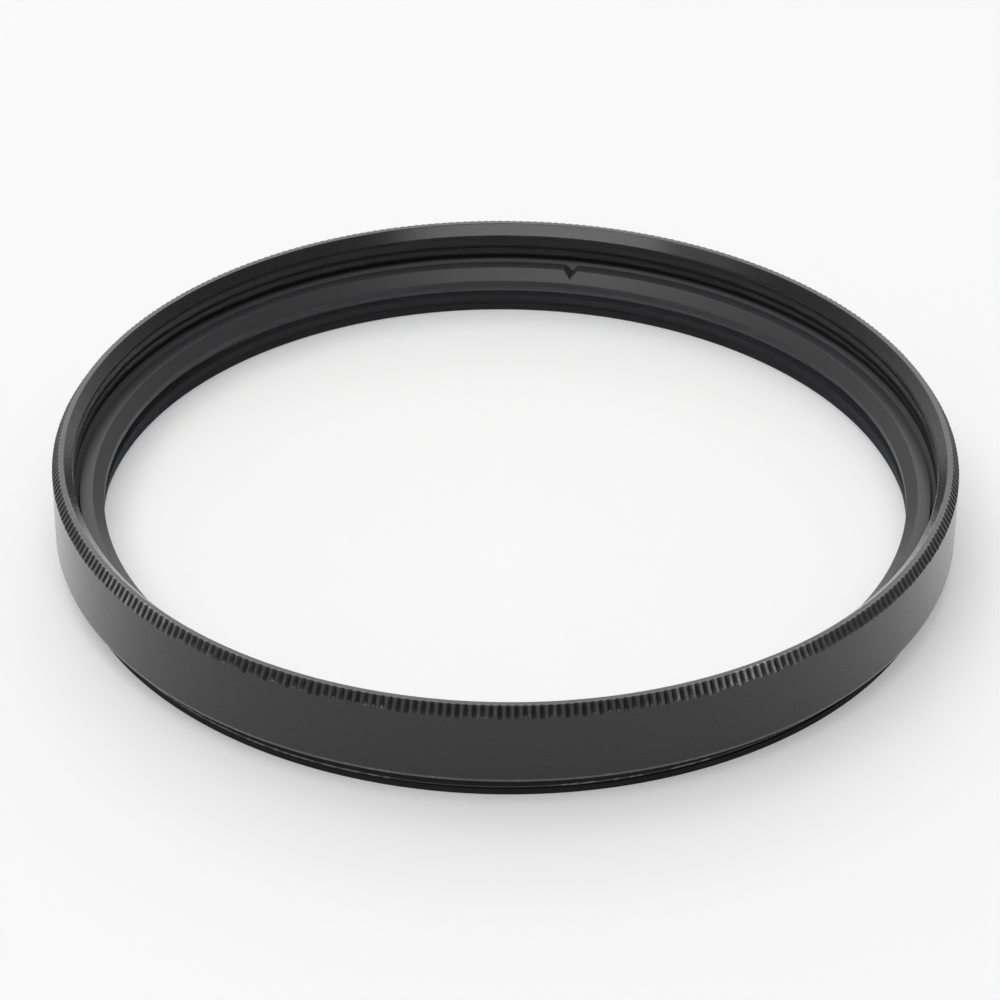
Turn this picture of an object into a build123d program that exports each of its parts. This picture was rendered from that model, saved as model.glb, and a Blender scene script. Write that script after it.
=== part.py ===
# Screw-in lens filter: a knurled, threaded ring that carries a glass disc, held down by a screwed
# retaining ring with two spanner notches. The origin is on the optical axis, on the rear face that
# the filter stands on. +Z runs forward, away from the lens. Sizes are in millimetres.
import os
from math import cos, pi, radians, sin

from build123d import *

# Threads, as plain cylinders: outside diameter behind, crest of the inside thread in front
thread_diameter = 58.0
thread_height = 0.32
front_thread_length = 1.85
lead_in = 0.55

# Rear neck under the wall
neck_length = 1.75
neck_chamfer = 0.05
relief_width = 0.35
relief_depth = 0.5

# Wall and knurled bevel
shoulder_width = 1.0
edge_break = 0.06
bevel_width = 0.41
bevel_height = 0.6
knurl_pitch = 0.518
knurl_depth = 0.16
knurl_land = 0.12
knurl_ledge = 0.02

# Glass and the shelf that it lies on
glass_inset = 0.57
glass_thickness = 2.0
glass_bevel = 0.2
glass_clearance = 0.1
shelf_width = 0.9
shelf_thickness = 1.4

# Retaining ring, below a narrow gap and an undercut at the end of the front thread
retainer_step = 0.41
retainer_clearance = 0.05
retainer_overlap = 1.0
retainer_thickness = 1.15
retainer_bevel = 0.72
retainer_gap = 0.25
undercut_depth = 0.37
undercut_width = 0.35
notch_depth = 0.47
notch_angle = 80.3

# Radii that follow
neck_radius = thread_diameter / 2
front_radius = neck_radius - thread_height
wall_radius = neck_radius + shoulder_width
retainer_radius = front_radius - retainer_step
retainer_bore = retainer_radius + retainer_clearance
glass_radius = retainer_radius - glass_inset
glass_bore = glass_radius + glass_clearance
aperture_radius = glass_radius - shelf_width
retainer_inner = glass_radius - retainer_overlap

# Heights that follow
glass_top = shelf_thickness + glass_thickness
retainer_top = glass_top + retainer_thickness
front_thread_bottom = retainer_top + retainer_gap
front_thread_top = front_thread_bottom + front_thread_length
rim_top = front_thread_top + lead_in
knurl_bottom = rim_top - bevel_height


def knurl_outline(tip_radius):
    """Corners of one turn of knurl teeth: a flat ridge, then the bottom of a V groove."""
    count = round(2 * pi * wall_radius / knurl_pitch)
    step = 2 * pi / count
    half_land = knurl_land / wall_radius / 2
    root_radius = tip_radius * (1 - knurl_depth / wall_radius)
    corners = []
    for tooth in range(count):
        turn = tooth * step
        for radius, angle in (
            (tip_radius, turn - half_land),
            (tip_radius, turn + half_land),
            (root_radius, turn + step / 2),
        ):
            corners.append((radius * cos(angle), radius * sin(angle)))
    return corners


# Filter ring: the knurled rim, the wall and the rear neck in one turned piece
with BuildPart() as filter_ring:
    for level, radius in (
        (knurl_bottom, wall_radius - knurl_ledge),
        (rim_top, wall_radius - knurl_ledge - bevel_width),
    ):
        with BuildSketch(Plane.XY.offset(level)):
            with BuildLine():
                Polyline(*knurl_outline(radius), close=True)
            make_face()
    loft(ruled=True)

    # Wall and neck, still solid, up to the foot of the knurl
    with BuildSketch(Plane.XZ):
        with BuildLine():
            Polyline(
                (0, 0),
                (neck_radius - neck_chamfer, 0),
                (neck_radius, neck_chamfer),
                (neck_radius, neck_length - relief_width),
                (neck_radius - relief_depth, neck_length - relief_width),
                (neck_radius - relief_depth, neck_length),
                (wall_radius - edge_break, neck_length),
                (wall_radius, neck_length + edge_break),
                (wall_radius, knurl_bottom),
                (0, knurl_bottom),
                close=True,
            )
        make_face()
    revolve(axis=Axis.Z)

    # Inside, from behind: aperture, shelf, glass, retaining ring, undercut, front thread, lead-in
    with BuildSketch(Plane.XZ):
        with BuildLine():
            Polyline(
                (0, 0),
                (aperture_radius, 0),
                (aperture_radius, shelf_thickness),
                (glass_bore, shelf_thickness),
                (glass_bore, glass_top),
                (retainer_bore, glass_top),
                (retainer_bore, front_thread_bottom - undercut_width),
                (front_radius + undercut_depth, front_thread_bottom - undercut_width),
                (front_radius + undercut_depth, front_thread_bottom),
                (front_radius, front_thread_bottom),
                (front_radius, front_thread_top),
                (front_radius + lead_in, rim_top),
                (0, rim_top),
                close=True,
            )
        make_face()
    revolve(axis=Axis.Z, mode=Mode.SUBTRACT)

# Filter glass: a plane disc with both edges bevelled, flat on the shelf
with BuildPart() as filter_glass:
    with BuildSketch(Plane.XY.offset(shelf_thickness)):
        Circle(glass_radius)
    extrude(amount=glass_thickness)
    chamfer(filter_glass.edges().filter_by(GeomType.CIRCLE), glass_bevel)

# Retaining ring: flat top, bevel towards the glass, and a V notch across it on each side
with BuildPart() as retaining_ring:
    with BuildSketch(Plane.XZ):
        with BuildLine():
            Polyline(
                (retainer_inner, glass_top),
                (retainer_radius, glass_top),
                (retainer_radius, retainer_top),
                (retainer_inner + retainer_bevel, retainer_top),
                (retainer_inner, retainer_top - retainer_bevel),
                close=True,
            )
        make_face()
    revolve(axis=Axis.Z)

    turn = radians(notch_angle)
    across = Plane(
        origin=(0, 0, retainer_top),
        x_dir=(-sin(turn), cos(turn), 0),
        z_dir=(cos(turn), sin(turn), 0),
    )
    with BuildSketch(across):
        with BuildLine():
            Polyline((-notch_depth, 0), (0, -notch_depth), (notch_depth, 0), close=True)
        make_face()
    extrude(amount=wall_radius, both=True, mode=Mode.SUBTRACT)

os.makedirs("parts", exist_ok=True)
for piece, name in (
    (filter_ring, "filter_ring"),
    (filter_glass, "filter_glass"),
    (retaining_ring, "retaining_ring"),
):
    piece.part.label = name
    export_step(piece.part, f"parts/{name}.step")
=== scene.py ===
# Looks of the screw-in lens filter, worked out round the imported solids.
import math

import bmesh
import bpy
import numpy as np
from mathutils import Matrix, Vector


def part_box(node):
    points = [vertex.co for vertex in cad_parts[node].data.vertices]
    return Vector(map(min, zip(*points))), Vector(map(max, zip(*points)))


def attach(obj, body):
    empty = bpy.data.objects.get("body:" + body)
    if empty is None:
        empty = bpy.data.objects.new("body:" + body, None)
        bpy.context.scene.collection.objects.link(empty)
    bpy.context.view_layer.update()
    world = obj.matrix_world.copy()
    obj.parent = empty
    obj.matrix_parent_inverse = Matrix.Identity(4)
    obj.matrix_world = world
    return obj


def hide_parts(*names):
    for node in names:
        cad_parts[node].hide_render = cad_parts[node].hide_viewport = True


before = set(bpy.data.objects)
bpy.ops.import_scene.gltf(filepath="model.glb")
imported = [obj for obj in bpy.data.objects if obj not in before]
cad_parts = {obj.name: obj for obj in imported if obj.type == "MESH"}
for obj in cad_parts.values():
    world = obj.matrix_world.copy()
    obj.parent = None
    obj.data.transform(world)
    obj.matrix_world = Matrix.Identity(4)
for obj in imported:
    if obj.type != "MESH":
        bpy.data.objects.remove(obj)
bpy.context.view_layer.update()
mm = 0.001
fullTurn = 2 * math.pi

# sizes that the solids give, in millimetres
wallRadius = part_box("filter_ring")[1].x / mm
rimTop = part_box("filter_ring")[1].z / mm
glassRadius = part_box("filter_glass")[1].x / mm
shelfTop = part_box("filter_glass")[0].z / mm
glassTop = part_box("filter_glass")[1].z / mm
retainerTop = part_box("retaining_ring")[1].z / mm
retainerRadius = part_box("retaining_ring")[1].x / mm
print("frame loaded, wall radius", round(wallRadius, 3), "mm, rim at", round(rimTop, 3), "mm")


# surface tools

# points of a grid of rows and columns: x = r cos a, y = r sin a, z = h, in metres
def turnedPoints(angle, radius, height):
    angle, radius, height = np.broadcast_arrays(angle, radius, height)
    return np.stack([radius * np.cos(angle), radius * np.sin(angle), height], -1) * mm


# a patch is its points, its faces, how worn each point is and how much painted highlight it
# gets, and which of the piece's materials its faces have
def turnedPatch(angle, radius, height, wearAndGlint=0.0, material=0):
    points = turnedPoints(angle, radius, height)
    rows, columns = points.shape[:2]
    first = (np.arange(rows - 1)[:, None] * columns + np.arange(columns - 1)).ravel()
    faces = np.stack([first, first + 1, first + columns + 1, first + columns], -1)
    wornAndGlinting = np.broadcast_to(wearAndGlint, (rows, columns)).ravel()
    return points.reshape(-1, 3), faces.tolist(), wornAndGlinting, material


# a strip between a coarse ring and a fine one that has several points to each coarse point:
# the first half of those points fans from the near coarse point, the rest from the next one
def stitchedPatch(coarse, fine):
    coarseCount, fineCount = len(coarse) - 1, len(fine) - 1
    share = fineCount // coarseCount
    near = np.repeat(np.arange(coarseCount), share)
    step = np.tile(np.arange(share), coarseCount)
    fineFirst = np.arange(fineCount) + coarseCount + 1
    fan = np.stack([near + (step >= share // 2), fineFirst, fineFirst + 1], -1)
    middle = np.arange(coarseCount) * share + share // 2 + coarseCount + 1
    bridge = np.stack([np.arange(coarseCount), middle, np.arange(coarseCount) + 1], -1)
    points = np.concatenate([coarse, fine])
    return points, np.concatenate([fan, bridge]).tolist(), np.zeros(len(points)), 0


# section line from corners (radius, height, rounding): a rounded corner is the quadratic curve
# (1-s)^2 a + 2 s (1-s) corner + s^2 b between points a and b on its two sides
def roundedSection(corners, steps=4):
    places = np.array([c[:2] for c in corners], float)
    line = []
    for index, corner in enumerate(corners):
        if corner[2] == 0:
            line.append(places[index][None])
            continue
        back, ahead = places[index - 1] - places[index], places[index + 1] - places[index]
        a = places[index] + back / np.linalg.norm(back) * corner[2]
        b = places[index] + ahead / np.linalg.norm(ahead) * corner[2]
        s = np.linspace(0, 1, steps)[:, None]
        line.append((1 - s) ** 2 * a + 2 * s * (1 - s) * places[index] + s ** 2 * b)
    line = np.concatenate(line)
    return line[:, :1], line[:, 1:]


# joins patches whose edges lie on each other into one closed mesh
def makePiece(name, patches, replaced, materials, sharpDegrees=28):
    starts = np.cumsum([0] + [len(p[0]) for p in patches])
    faces = [[v + start for v in face] for start, p in zip(starts, patches) for face in p[1]]
    mesh = bpy.data.meshes.new(name)
    mesh.from_pydata(np.concatenate([p[0] for p in patches]).tolist(), [], faces)
    wearAndGlint = np.concatenate([p[2] for p in patches]).astype(np.float32)
    mesh.attributes.new("wearAndGlint", "FLOAT", "POINT").data.foreach_set("value", wearAndGlint)
    for material in materials:
        mesh.materials.append(material)
    finish = np.concatenate([np.broadcast_to(p[3], len(p[1])) for p in patches]).astype(np.int32)
    mesh.polygons.foreach_set("material_index", finish)
    edit = bmesh.new()
    edit.from_mesh(mesh)
    bmesh.ops.remove_doubles(edit, verts=edit.verts, dist=3e-7)
    bmesh.ops.recalc_face_normals(edit, faces=edit.faces)
    openEdges = sum(not e.is_manifold for e in edit.edges)
    triangles = sum(len(f.verts) - 2 for f in edit.faces)
    edit.to_mesh(mesh)
    edit.free()
    mesh.polygons.foreach_set("use_smooth", np.ones(len(mesh.polygons), bool))
    mesh.set_sharp_from_angle(angle=math.radians(sharpDegrees))
    piece = bpy.data.objects.new(name, mesh)
    bpy.context.scene.collection.objects.link(piece)
    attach(piece, "root")
    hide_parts(replaced)
    print(name, "triangles", triangles, "open edges", openEdges)
    return piece


# materials

# sRGB hex to linear
def linear(hexColour):
    parts = np.array([int(hexColour[i:i + 2], 16) for i in (1, 3, 5)]) / 255
    return tuple(np.where(parts <= 0.04045, parts / 12.92, ((parts + 0.055) / 1.055) ** 2.4)) + (1.0,)


# one node with its settings and links; a setting that names an input sets it, others set the node
def addNode(tree, kind, settings=None, links=None):
    node = tree.nodes.new(kind)
    for key, value in (settings or {}).items():
        if key in node.inputs:
            node.inputs[key].default_value = value
        else:
            setattr(node, key, value)
    for key, source in (links or {}).items():
        tree.links.new(source, node.inputs[key])
    return node


def newMaterial(name):
    material = bpy.data.materials.new(name)
    material.use_nodes = True
    material.node_tree.nodes.clear()
    return material, material.node_tree


# Black anodised aluminium: a nearly black dyed layer under a sealed oxide film that gives a satin
# glaze, stronger at a slant; dye is thin on sharp edges, where grey metal shows, more so in specks.
# The same grey is also painted on as highlights and glints where the point attribute asks for it.
def anodisedAluminium(name, dye, metallic, roughness, gloss, film, grainMm=0.11, speckMm=0.6):
    material, tree = newMaterial(name)
    place = addNode(tree, "ShaderNodeTexCoord").outputs["Object"]
    grain = addNode(tree, "ShaderNodeTexNoise",
                    {"Scale": 1 / (grainMm * mm), "Detail": 2.0, "Roughness": 0.6}, {"Vector": place})
    specks = addNode(tree, "ShaderNodeTexNoise",
                     {"Scale": 1 / (speckMm * mm), "Detail": 4.0, "Roughness": 0.7}, {"Vector": place})
    wornAndGlinting = addNode(tree, "ShaderNodeAttribute", {"attribute_name": "wearAndGlint"}).outputs["Fac"]
    broken = addNode(tree, "ShaderNodeMapRange",
                     {"From Min": 0.54, "From Max": 0.72, "To Min": 0.3, "To Max": 0.75},
                     {"Value": specks.outputs["Fac"]}).outputs["Result"]
    shows = addNode(tree, "ShaderNodeMath", {"operation": "MULTIPLY"}, {0: wornAndGlinting, 1: broken}).outputs[0]
    # grey of bare metal, shown both for real wear and for painted highlights and glints
    colour = addNode(tree, "ShaderNodeMix", {"data_type": "RGBA"}, {"Factor": shows})
    colour.inputs[6].default_value = linear(dye)
    colour.inputs[7].default_value = linear("#9c9c9e")
    satin = addNode(tree, "ShaderNodeMapRange",
                    {"From Min": 0.3, "From Max": 0.7,
                     "To Min": roughness - 0.02, "To Max": roughness + 0.02},
                    {"Value": grain.outputs["Fac"]}).outputs["Result"]
    bump = addNode(tree, "ShaderNodeBump", {"Strength": 0.02, "Distance": 0.02 * mm},
                   {"Height": grain.outputs["Fac"]})
    shader = addNode(tree, "ShaderNodeBsdfPrincipled",
                     {"Metallic": metallic, "Specular IOR Level": gloss,
                      "Coat Weight": film, "Coat Roughness": 0.2},
                     {"Base Color": colour.outputs[2], "Roughness": satin,
                      "Normal": bump.outputs["Normal"]})
    addNode(tree, "ShaderNodeOutputMaterial", None, {"Surface": shader.outputs[0]})
    return material


# Coated optical glass, ground flat and polished: clear, with a film that takes nearly all of the
# glare away (many layers, set as one thin one with a dim tint); lamps shine through it to the floor
def coatedGlass():
    material, tree = newMaterial("coatedOpticalGlass")
    shader = addNode(tree, "ShaderNodeBsdfPrincipled",
                     {"Base Color": linear("#ffffff"), "Roughness": 0.0, "IOR": 1.52,
                      "Transmission Weight": 1.0, "Specular Tint": linear("#5c6250"),
                      "Thin Film Thickness": 170.0, "Thin Film IOR": 1.2})
    clear = addNode(tree, "ShaderNodeBsdfTransparent", {"Color": linear("#ffffff")})
    path = addNode(tree, "ShaderNodeLightPath").outputs
    lamp = addNode(tree, "ShaderNodeMixShader", None,
                   {0: path["Is Shadow Ray"], 1: shader.outputs[0], 2: clear.outputs[0]})
    bounce = addNode(tree, "ShaderNodeMixShader", None,
                     {0: path["Is Diffuse Ray"], 1: lamp.outputs[0], 2: clear.outputs[0]})
    addNode(tree, "ShaderNodeOutputMaterial", None, {"Surface": bounce.outputs[0]})
    return material


# Ground glass, the edge of the disc as the wheel left it: pale grey, frosted, faintly mottled
def groundGlass(gritMm=0.15):
    material, tree = newMaterial("groundGlassEdge")
    place = addNode(tree, "ShaderNodeTexCoord").outputs["Object"]
    grit = addNode(tree, "ShaderNodeTexNoise",
                   {"Scale": 1 / (gritMm * mm), "Detail": 2.0}, {"Vector": place})
    colour = addNode(tree, "ShaderNodeMix", {"data_type": "RGBA"}, {"Factor": grit.outputs["Fac"]})
    colour.inputs[6].default_value = linear("#62666a")
    colour.inputs[7].default_value = linear("#767a7d")
    shader = addNode(tree, "ShaderNodeBsdfPrincipled",
                     {"Roughness": 0.7, "IOR": 1.52, "Transmission Weight": 0.35},
                     {"Base Color": colour.outputs[2]})
    addNode(tree, "ShaderNodeOutputMaterial", None, {"Surface": shader.outputs[0]})
    return material


# dye, metallic, roughness, gloss of the dyed layer, weight of the film on it
ringBlack = anodisedAluminium("blackAnodisedAluminium", "#2b2b2c", 0.45, 0.28, gloss=0.3, film=0.52)
boreBlack = anodisedAluminium("dullBlackAnodisedAluminium", "#3a3a3c", 0.0, 0.55, gloss=0.04, film=0.0)
# darker copy of the black: painted shade for the recessed front thread
shadeDarkenedBlack = anodisedAluminium("shadeDarkenedBlackAnodisedAluminium", "#1b1b1c", 0.0, 0.4, gloss=0.2, film=0.3)
retainerBlack = anodisedAluminium("mattBlackAnodisedAluminium", "#363638", 0.0, 0.42, gloss=0.5, film=0.0)
knurlBlack = anodisedAluminium("sharpBlackAnodisedAluminium", "#2e2e2f", 0.0, 0.35, gloss=0.4, film=0.0)
# paler copy of the black: painted light that lifts the shaded undercut and the outside thread
shadeLiftedBlack = anodisedAluminium("shadeLiftedBlackAnodisedAluminium", "#5a5a5c", 0.0, 0.5, gloss=0.2, film=0.0)
lensGlass = coatedGlass()
lensEdge = groundGlass()
ringFinishes = {"wall": ringBlack, "bore": boreBlack, "frontThread": shadeDarkenedBlack,
                "knurl": knurlBlack, "turned": shadeLiftedBlack}
finishIndex = {name: index for index, name in enumerate(ringFinishes)}
print("materials made")


# filter ring

ring = {
    "columns": 728,  # round the plain stretches
    "neckLength": 1.75, "neckRadius": 29.0, "neckChamfer": 0.03, "neckLand": 0.46,
    "reliefRadius": 28.5, "reliefWidth": 0.35,
    "wallBreak": 0.03, "wallBreakHeight": 0.1,
    "apertureRadius": 26.8, "lip": 0.5, "rearBore": 27.05, "rearChamfer": 0.1,
    "glassBore": 27.8, "retainerBore": 28.32,
    "undercutRadius": 29.05, "undercutLip": 0.12, "retainerGap": 0.25,
    "frontRadius": 28.6, "leadIn": 0.65, "leadInWidth": 0.6, "threadRunOut": 0.15, "softEdge": 0.04,
    "bevelWidth": 0.41, "bevelHeight": 0.6,
    "rimMargin": 0.1, "wallMargin": 0.3,  # plain strips before the knurl's own points
    # painted highlight: grey on the rim's inner edge, 57 degrees either side of the front, over 19
    # degrees
    "rimGlint": 1.4, "rimGlintAt": 57, "rimGlintSpan": 19,
    "edgeWear": 0.85, "crestWearAndShine": 4.0, "crestSpeckSeed": 3,  # how thin the dye is, of 1; on the thread's crest it is partly painted highlight
    "speckShare": 0.45,  # of the crest's grey stretches, which are partly wear and partly painted highlight
    # stretches of the outside thread's crest given grey metal: partly wear, partly painted highlight
    "crestWearAndShineDegrees": ((18, 44), (78, 96), (120, 149), (183, 198),
                     (217, 256), (275, 287), (291, 296), (330, 347)),
}
outsideThread = {"pitch": 0.75, "low": 28.594, "high": 29.0,
                 "lowShare": 0.25, "highShare": 0.14, "shift": 0.05}
insideThread = {"pitch": 0.75, "low": 28.6, "high": 28.66,
                "lowShare": 0.12, "highShare": 0.12, "shift": 0.0}
knurl = {
    "teeth": 364, "ridgeShare": 0.26, "depth": 0.2, "start": 0.35, "ridgeInset": 0.02,
    "footShort": 0.0, "footLong": 0.14, "ledgeFall": 0.05, "seed": 5,  # one groove and the next
    # the extra grey on ridges round 217 and 300 degrees is painted highlight; the plain ridge wear is
    # real
    "ridgeWear": 0.35, "rubAndShine": 2.2, "ridgeShineDegrees": ((217, 14), (300, 13)),  # middle and span
    # grey groove feet, a few at random and at the listed degrees, are painted glints
    "glintFeet": 0.04, "footGlint": 1.1, "glintFeetDegrees": ((251.3, 256.2), (282.2, 284.4)),
    "points": (0, 0.13, 0.25, 0.4, 0.5, 0.6, 0.75, 0.87),  # round one tooth, from the middle of a ridge
}


# thread: a ridge with straight flanks between a low and a high flat, wound as h = pitch a / turn
def threadRadius(spec, angle, height):
    turns = (height - spec["shift"]) / spec["pitch"] - angle / fullTurn
    away = np.abs((turns + 0.5) % 1 - 0.5)
    low, high = 0.5 - spec["lowShare"] / 2, spec["highShare"] / 2
    return spec["low"] + (spec["high"] - spec["low"]) * np.clip((low - away) / (low - high), 0, 1)


# thread surface between two heights: rows follow the helix and stop at the end planes
def threadPatch(spec, angle, bottom, top, wearAndGlint=0.0, material=0):
    low, high = 0.5 - spec["lowShare"] / 2, spec["highShare"] / 2
    steps = np.array([-low, -high - 0.02, -high, high, high + 0.02, low])
    turns = np.arange(math.floor(bottom / spec["pitch"]) - 2, math.ceil(top / spec["pitch"]) + 2)
    rise = ((turns[:, None] + steps).ravel() * spec["pitch"] + spec["shift"])[:, None]
    height = np.clip(rise + spec["pitch"] * angle / fullTurn, bottom, top)
    radius = threadRadius(spec, angle, height)
    onCrest = (radius > spec["high"] - 0.005) & (height > bottom + 0.03)
    return turnedPatch(angle, radius, height, wearAndGlint * onCrest, material)


# knurled bevel: r = bevel radius - depth * V(a), where the V between two flat ridges deepens from
# the rim edge down and ends on a small ledge that differs a little from groove to groove
def knurlPatch():
    draw = np.random.default_rng(knurl["seed"])
    points = np.array(knurl["points"])
    half = knurl["ridgeShare"] / 2
    tooth = (np.arange(knurl["teeth"])[:, None] + points).ravel()
    angle = np.append(tooth, knurl["teeth"]) * fullTurn / knurl["teeth"]
    away = np.abs((points + 0.5) % 1 - 0.5)
    groove = np.append(np.tile(np.clip((away - half) / (0.5 - half), 0, 1), knurl["teeth"]), 0)
    drop = draw.uniform(knurl["footShort"], knurl["footLong"], knurl["teeth"])
    fall = draw.uniform(-0.1, 1, knurl["teeth"]) * knurl["ledgeFall"]
    drop, fall = (np.append(np.repeat(v, points.size), 0) * groove for v in (drop, fall))
    along = np.array([0, 0.12, 0.3, 0.65, 0.85, 1.0])[:, None]
    share = np.array([knurl["start"], 0.6, 1.0, 1.0, 0.8, 0.5])[:, None]
    deep = knurl["depth"] * share
    top, foot = wallRadius - ring["bevelWidth"], ring["bevelHeight"] + drop
    radius = np.concatenate([top + (ring["bevelWidth"] - knurl["ridgeInset"]) * along - deep * groove,
                             np.full((1, angle.size), wallRadius)])
    height = rimTop - np.concatenate([foot * along, (foot + knurl["ridgeInset"] + fall)[None]])
    wearAndGlint = np.where((groove == 0) & (radius < wallRadius), knurl["ridgeWear"], 0.0)
    turned = np.degrees(angle)
    # painted highlight: lighter ridges round the given degrees
    for middle, span in knurl["ridgeShineDegrees"]:
        wearAndGlint += knurl["rubAndShine"] * (groove == 0) * np.clip(1 - np.abs(turned - middle) / span, 0, 1)
    # painted glints: grey on the ledge of some groove feet
    paintedGlint = np.append(np.repeat(draw.random(knurl["teeth"]) < knurl["glintFeet"], points.size), False)
    for first, last in knurl["glintFeetDegrees"]:
        paintedGlint |= (turned > first) & (turned < last)
    wearAndGlint[-2] = np.where(paintedGlint & (groove > 0.5), knurl["footGlint"], wearAndGlint[-2])
    return turnedPatch(angle[None], radius, height, wearAndGlint, finishIndex["knurl"])


def buildRing():
    angle = np.linspace(0, fullTurn, ring["columns"] + 1)[None]
    level = np.ones_like(angle)
    soft, chamfer, land = ring["softEdge"], ring["neckChamfer"], ring["neckLand"]
    threadTop = ring["neckLength"] - ring["reliefWidth"]
    frontBottom = retainerTop + ring["retainerGap"]
    frontTop = rimTop - ring["leadIn"]
    wallStart = rimTop - ring["bevelHeight"] - ring["wallMargin"]

    # outer wall, its lower edge, the shoulder and the relief down to the end of the thread
    radius, height = roundedSection([
        (wallRadius, wallStart, 0), (wallRadius, ring["neckLength"] + 2 * ring["wallBreakHeight"], 0),
        (wallRadius, ring["neckLength"] + ring["wallBreakHeight"], soft),
        (wallRadius - ring["wallBreak"], ring["neckLength"], 0),
        (ring["reliefRadius"], ring["neckLength"], 0), (ring["reliefRadius"], threadTop, 0)])
    low = height < ring["neckLength"] + 1.5 * ring["wallBreakHeight"]
    edge = low & (radius > wallRadius - 2 * ring["wallBreak"])
    patches = [turnedPatch(angle, radius, height, ring["edgeWear"] * edge)]
    patches.append(turnedPatch(angle, np.concatenate([
        ring["reliefRadius"] * level, threadRadius(outsideThread, angle, threadTop)]), threadTop))
    # grey specks on the outside thread's crest: partly wear, partly painted highlight
    specks = np.random.default_rng(ring["crestSpeckSeed"]).random(angle.shape) < ring["speckShare"]
    turned = np.degrees(angle)
    rubAndShine = sum((turned > first) & (turned < last) for first, last in ring["crestWearAndShineDegrees"])
    rubAndShine = ring["crestWearAndShine"] * (0.2 + specks) * rubAndShine
    # the outside thread takes the paler dye: painted light lifting the shade under the wall
    patches.append(threadPatch(outsideThread, angle, land, threadTop, rubAndShine, finishIndex["turned"]))
    patches.append(turnedPatch(angle, np.concatenate([
        threadRadius(outsideThread, angle, land), ring["neckRadius"] * level]), land,
        material=finishIndex["bore"]))
    lead = np.array([ring["neckRadius"], ring["neckRadius"], ring["neckRadius"] - chamfer])[:, None]
    patches.append(turnedPatch(angle, lead, np.array([land, chamfer, 0])[:, None],
                               material=finishIndex["bore"]))

    # rear face, aperture, seats of the glass and of the retaining ring, undercut with a sloping foot
    aperture, rear, gap = ring["apertureRadius"], ring["rearChamfer"], ring["undercutLip"]
    slope = ring["undercutRadius"] - ring["retainerBore"]
    bore, lip = ring["rearBore"], shelfTop - ring["lip"]
    patches.append(turnedPatch(angle, np.array([lead[-1], [bore + rear]]), 0.0))
    patches.append(turnedPatch(angle, *roundedSection([
        (bore + rear, 0, 0), (bore, rear, soft), (bore, lip, 0), (aperture, lip, soft),
        (aperture, shelfTop, soft), (ring["glassBore"], shelfTop, 0),
        (ring["glassBore"], glassTop, 0), (ring["retainerBore"], glassTop, 0)]),
        material=finishIndex["bore"]))
    # the undercut takes the paler dye: painted light lifting the shade in this crevice
    patches.append(turnedPatch(angle, *roundedSection([
        (ring["retainerBore"], glassTop, 0), (ring["retainerBore"], frontBottom - gap - slope, 0),
        (ring["undercutRadius"], frontBottom - gap, 0), (ring["undercutRadius"], frontBottom, 0)]),
        material=finishIndex["turned"]))
    patches.append(turnedPatch(angle, np.concatenate([
        ring["undercutRadius"] * level, threadRadius(insideThread, angle, frontBottom)]), frontBottom))

    # front thread, and the lead-in cone in which it runs out
    # the front thread takes the darker dye: painted shade in the recess
    patches.append(threadPatch(insideThread, angle, frontBottom, frontTop,
                               material=finishIndex["frontThread"]))
    coneHeight = np.linspace(frontTop, rimTop - soft, 12)[:, None]
    slant = ring["leadInWidth"] / ring["leadIn"]
    cone = ring["frontRadius"] + (coneHeight - frontTop) * slant
    runOut = np.clip(1 - (coneHeight - frontTop) / ring["threadRunOut"], 0, 1)
    groove = threadRadius(insideThread, angle, coneHeight) - ring["frontRadius"]
    cut = ring["frontRadius"] + groove * runOut
    patches.append(turnedPatch(angle, np.maximum(cut, cone), coneHeight))
    rimInner = ring["frontRadius"] + ring["leadInWidth"]
    rimPlain = rimInner + ring["rimMargin"]
    radius, height = roundedSection([
        (rimInner - soft * slant, rimTop - soft, 0), (rimInner, rimTop, soft), (rimPlain, rimTop, 0)])
    # painted highlight: grey on the rim's inner edge, by angle either side of the front
    paintedGlint = np.abs(np.abs(turned - 270) - ring["rimGlintAt"]) < ring["rimGlintSpan"]
    edge = (height > rimTop - soft) & (radius < rimInner + soft)
    patches.append(turnedPatch(angle, radius, height, ring["rimGlint"] * paintedGlint * edge))

    # knurl, with a fine ring of points, stitched to the rim and to the wall
    teeth = knurlPatch()
    around = knurl["teeth"] * len(knurl["points"]) + 1
    patches.append(teeth)
    patches.append(stitchedPatch(turnedPoints(angle[0], rimPlain, rimTop), teeth[0][:around]))
    patches.append(stitchedPatch(turnedPoints(angle[0], wallRadius, wallStart), teeth[0][-around:]))
    return makePiece("filterRing", patches, "filter_ring",
                     list(ringFinishes.values()))


buildRing()


# filter glass

glass = {"columns": 360, "bevel": 0.2}


def buildGlass():
    angle = np.linspace(0, fullTurn, glass["columns"] + 1)[None]
    bevel = glass["bevel"]
    flat = np.array([0, glassRadius - bevel])[:, None]
    radius = np.array([glassRadius - bevel, glassRadius, glassRadius, glassRadius - bevel])[:, None]
    height = np.array([glassTop, glassTop - bevel, shelfTop + bevel, shelfTop])[:, None]
    patches = [turnedPatch(angle, flat, glassTop), turnedPatch(angle, radius, height, material=1),
               turnedPatch(angle, flat, shelfTop)]
    return makePiece("filterGlass", patches, "filter_glass", [lensGlass, lensEdge])


buildGlass()


# retaining ring

retainer = {"columns": 720, "innerRadius": 26.7, "bevel": 0.72, "softEdge": 0.03,
            "notchDepth": 0.47, "notchDegrees": (80.3, 260.3), "notchColumns": 41}


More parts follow.
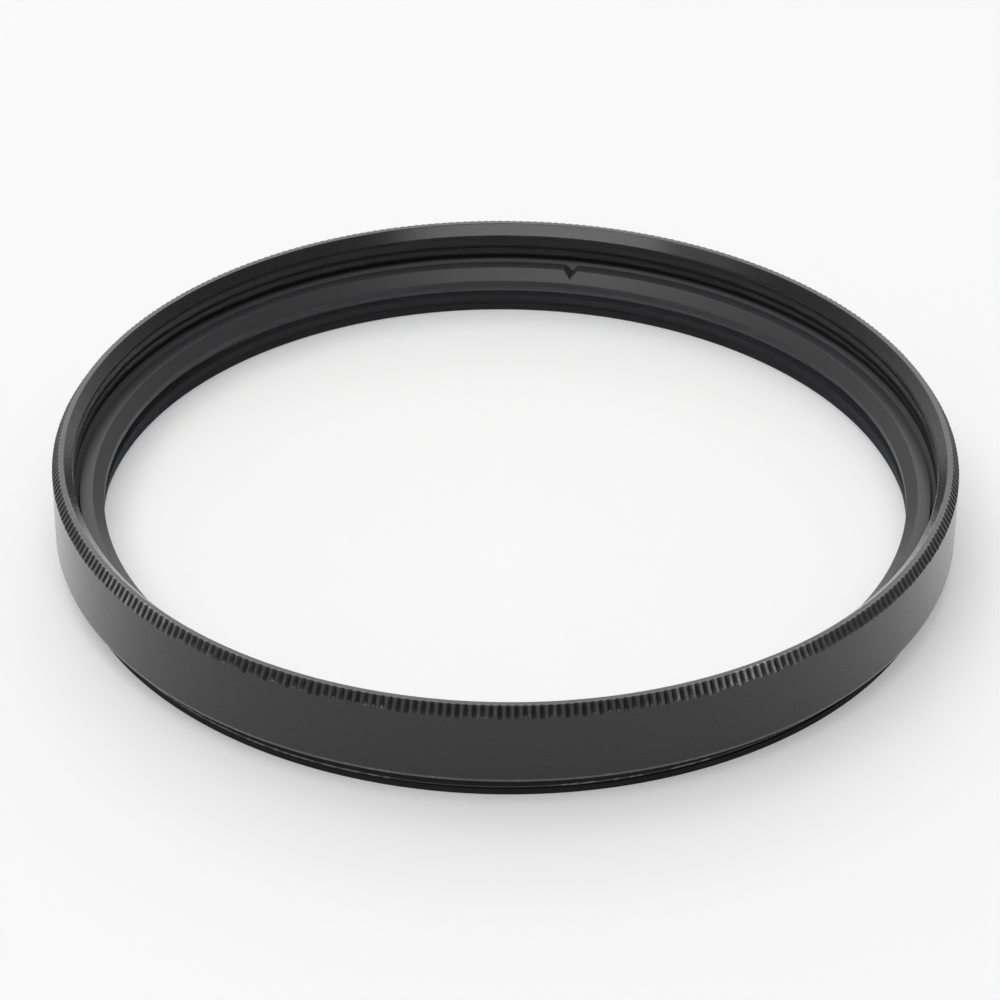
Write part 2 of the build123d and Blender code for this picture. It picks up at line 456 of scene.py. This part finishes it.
# a turned ring whose top is lowered to a V at each notch:
# h = min(section, top - depth + distance from the notch line)
def buildRetainer():
    notch = np.radians(retainer["notchDegrees"])
    near = np.radians(np.linspace(-1.3, 1.3, retainer["notchColumns"]))
    plain = np.linspace(0, fullTurn, retainer["columns"] + 1)
    angle = np.unique(np.concatenate([plain, (notch[:, None] + near).ravel()]))[None]
    inside, bevel, soft = retainer["innerRadius"], retainer["bevel"], retainer["softEdge"]
    rows = [(inside + bevel * s, retainerTop - bevel * (1 - s), 0) for s in np.linspace(0.9, 0.1, 13)]
    radius, height = roundedSection([
        (inside, glassTop, 0), (retainerRadius, glassTop, 0), (retainerRadius, retainerTop, soft),
        (inside + bevel, retainerTop, soft), *rows, (inside, retainerTop - bevel, soft),
        (inside, glassTop, 0)])
    across = np.min(np.abs(radius[None] * np.sin(angle[None] - notch[:, None, None])), axis=0)
    floor = retainerTop - retainer["notchDepth"] + across
    return makePiece("retainingRing", [turnedPatch(angle, radius, np.minimum(height, floor))],
                     "retaining_ring", [retainerBlack])


buildRetainer()


# stage, light and camera

stage = {
    "floorSize": 3.0, "paper": "#dadada", "paperGlow": 0.29,
    "brightSide": (-0.1, 0.75, -0.65), "dimSky": 0.22, "brightSky": 0.94,
    "lamps": {  # place and size in metres, radiance
        "frontSoftbox": ((-0.11, -0.64, 1.0), (1.1, 0.3), 3.6),
        "topSoftbox": ((-0.32, 0.05, 1.2), (1.1, 1.2), 1.35),
        "backSoftbox": ((-0.05, 0.70, 1.12), (1.1, 0.7), 1.0),
        "lowSoftbox": ((-0.05, 0.90, 0.62), (0.6, 0.26), 1.9),
    },
}


# White sweep paper, matt and even; what the camera, metal and glass see of it is lifted towards white
def whitePaper():
    material, tree = newMaterial("whiteSweepPaper")
    shader = addNode(tree, "ShaderNodeBsdfPrincipled",
                     {"Base Color": linear(stage["paper"]), "Roughness": 0.9,
                      "Specular IOR Level": 0.1})
    path = addNode(tree, "ShaderNodeLightPath").outputs
    seen = path["Is Camera Ray"]
    for ray in ("Is Glossy Ray", "Is Transmission Ray"):
        either = addNode(tree, "ShaderNodeMath", {"operation": "MAXIMUM"}, {0: seen, 1: path[ray]})
        seen = either.outputs[0]
    lift = addNode(tree, "ShaderNodeMath", {"operation": "MULTIPLY"}, {0: seen})
    lift.inputs[1].default_value = stage["paperGlow"]
    glow = addNode(tree, "ShaderNodeEmission", None, {"Strength": lift.outputs[0]})
    both = addNode(tree, "ShaderNodeAddShader", None, {0: shader.outputs[0], 1: glow.outputs[0]})
    addNode(tree, "ShaderNodeOutputMaterial", None, {"Surface": both.outputs[0]})
    return material


def buildFloor():
    half = stage["floorSize"] / 2
    mesh = bpy.data.meshes.new("sweepFloor")
    corners = [(-half, -half, 0), (half, -half, 0), (half, half, 0), (-half, half, 0)]
    mesh.from_pydata(corners, [], [(0, 1, 2, 3)])
    mesh.materials.append(whitePaper())
    floor = bpy.data.objects.new("sweepFloor", mesh)
    bpy.context.scene.collection.objects.link(floor)


# a flat lamp that faces the object; its power is radiance * pi * area
def softbox(name, place, size, radiance):
    data = bpy.data.lights.new(name, "AREA")
    data.shape, data.size, data.size_y = "RECTANGLE", size[0], size[1]
    data.energy = radiance * math.pi * size[0] * size[1]
    lamp = bpy.data.objects.new(name, data)
    lamp.location = place
    lamp.rotation_euler = (-Vector(place)).to_track_quat("-Z", "Y").to_euler()
    bpy.context.scene.collection.objects.link(lamp)


def buildLight():
    world = bpy.data.worlds.new("whiteRoom")
    world.use_nodes = True
    tree = world.node_tree
    tree.nodes.clear()
    way = addNode(tree, "ShaderNodeTexCoord").outputs["Generated"]
    behind = addNode(tree, "ShaderNodeVectorMath", {"operation": "DOT_PRODUCT"}, {0: way})
    behind.inputs[1].default_value = stage["brightSide"]
    fade = addNode(tree, "ShaderNodeMapRange",
                   {"interpolation_type": "SMOOTHSTEP", "From Min": -0.4, "From Max": 0.6,
                    "To Min": stage["dimSky"], "To Max": stage["brightSky"]},
                   {"Value": behind.outputs["Value"]})
    sky = addNode(tree, "ShaderNodeBackground", {"Color": (1, 1, 1, 1)},
                  {"Strength": fade.outputs["Result"]})
    addNode(tree, "ShaderNodeOutputWorld", None, {"Surface": sky.outputs[0]})
    bpy.context.scene.world = world
    for name, (place, size, radiance) in stage["lamps"].items():
        softbox(name, place, size, radiance)


# the camera that the photograph's ellipses give, in millimetres about the centre of the rim
camera = {"elevation": 33.454, "roll": -0.461, "lens": 145.14, "sensor": 36.0,
          "right": 0.3805, "down": -3.9208, "away": 267.42}


def buildCamera():
    elevation, roll = math.radians(camera["elevation"]), math.radians(camera["roll"])
    forward = Vector((0, math.cos(elevation), -math.sin(elevation)))
    down = Vector((0, -math.sin(elevation), -math.cos(elevation)))
    level = Vector((1, 0, 0))
    right = math.cos(roll) * level + math.sin(roll) * down
    under = math.cos(roll) * down - math.sin(roll) * level
    offset = camera["right"] * right + camera["down"] * under + camera["away"] * forward
    place = Vector((0, 0, rimTop)) - offset
    data = bpy.data.cameras.new("camera")
    data.lens, data.sensor_width, data.clip_start = camera["lens"], camera["sensor"], 0.01
    eye = bpy.data.objects.new("camera", data)
    turn = Matrix((right, -under, -forward)).transposed().to_4x4()
    eye.matrix_world = Matrix.Translation(place * mm) @ turn
    bpy.context.scene.collection.objects.link(eye)
    bpy.context.scene.camera = eye


buildFloor()
buildLight()
buildCamera()
bpy.context.scene.view_settings.view_transform = "Standard"
print("stage, light and camera set")
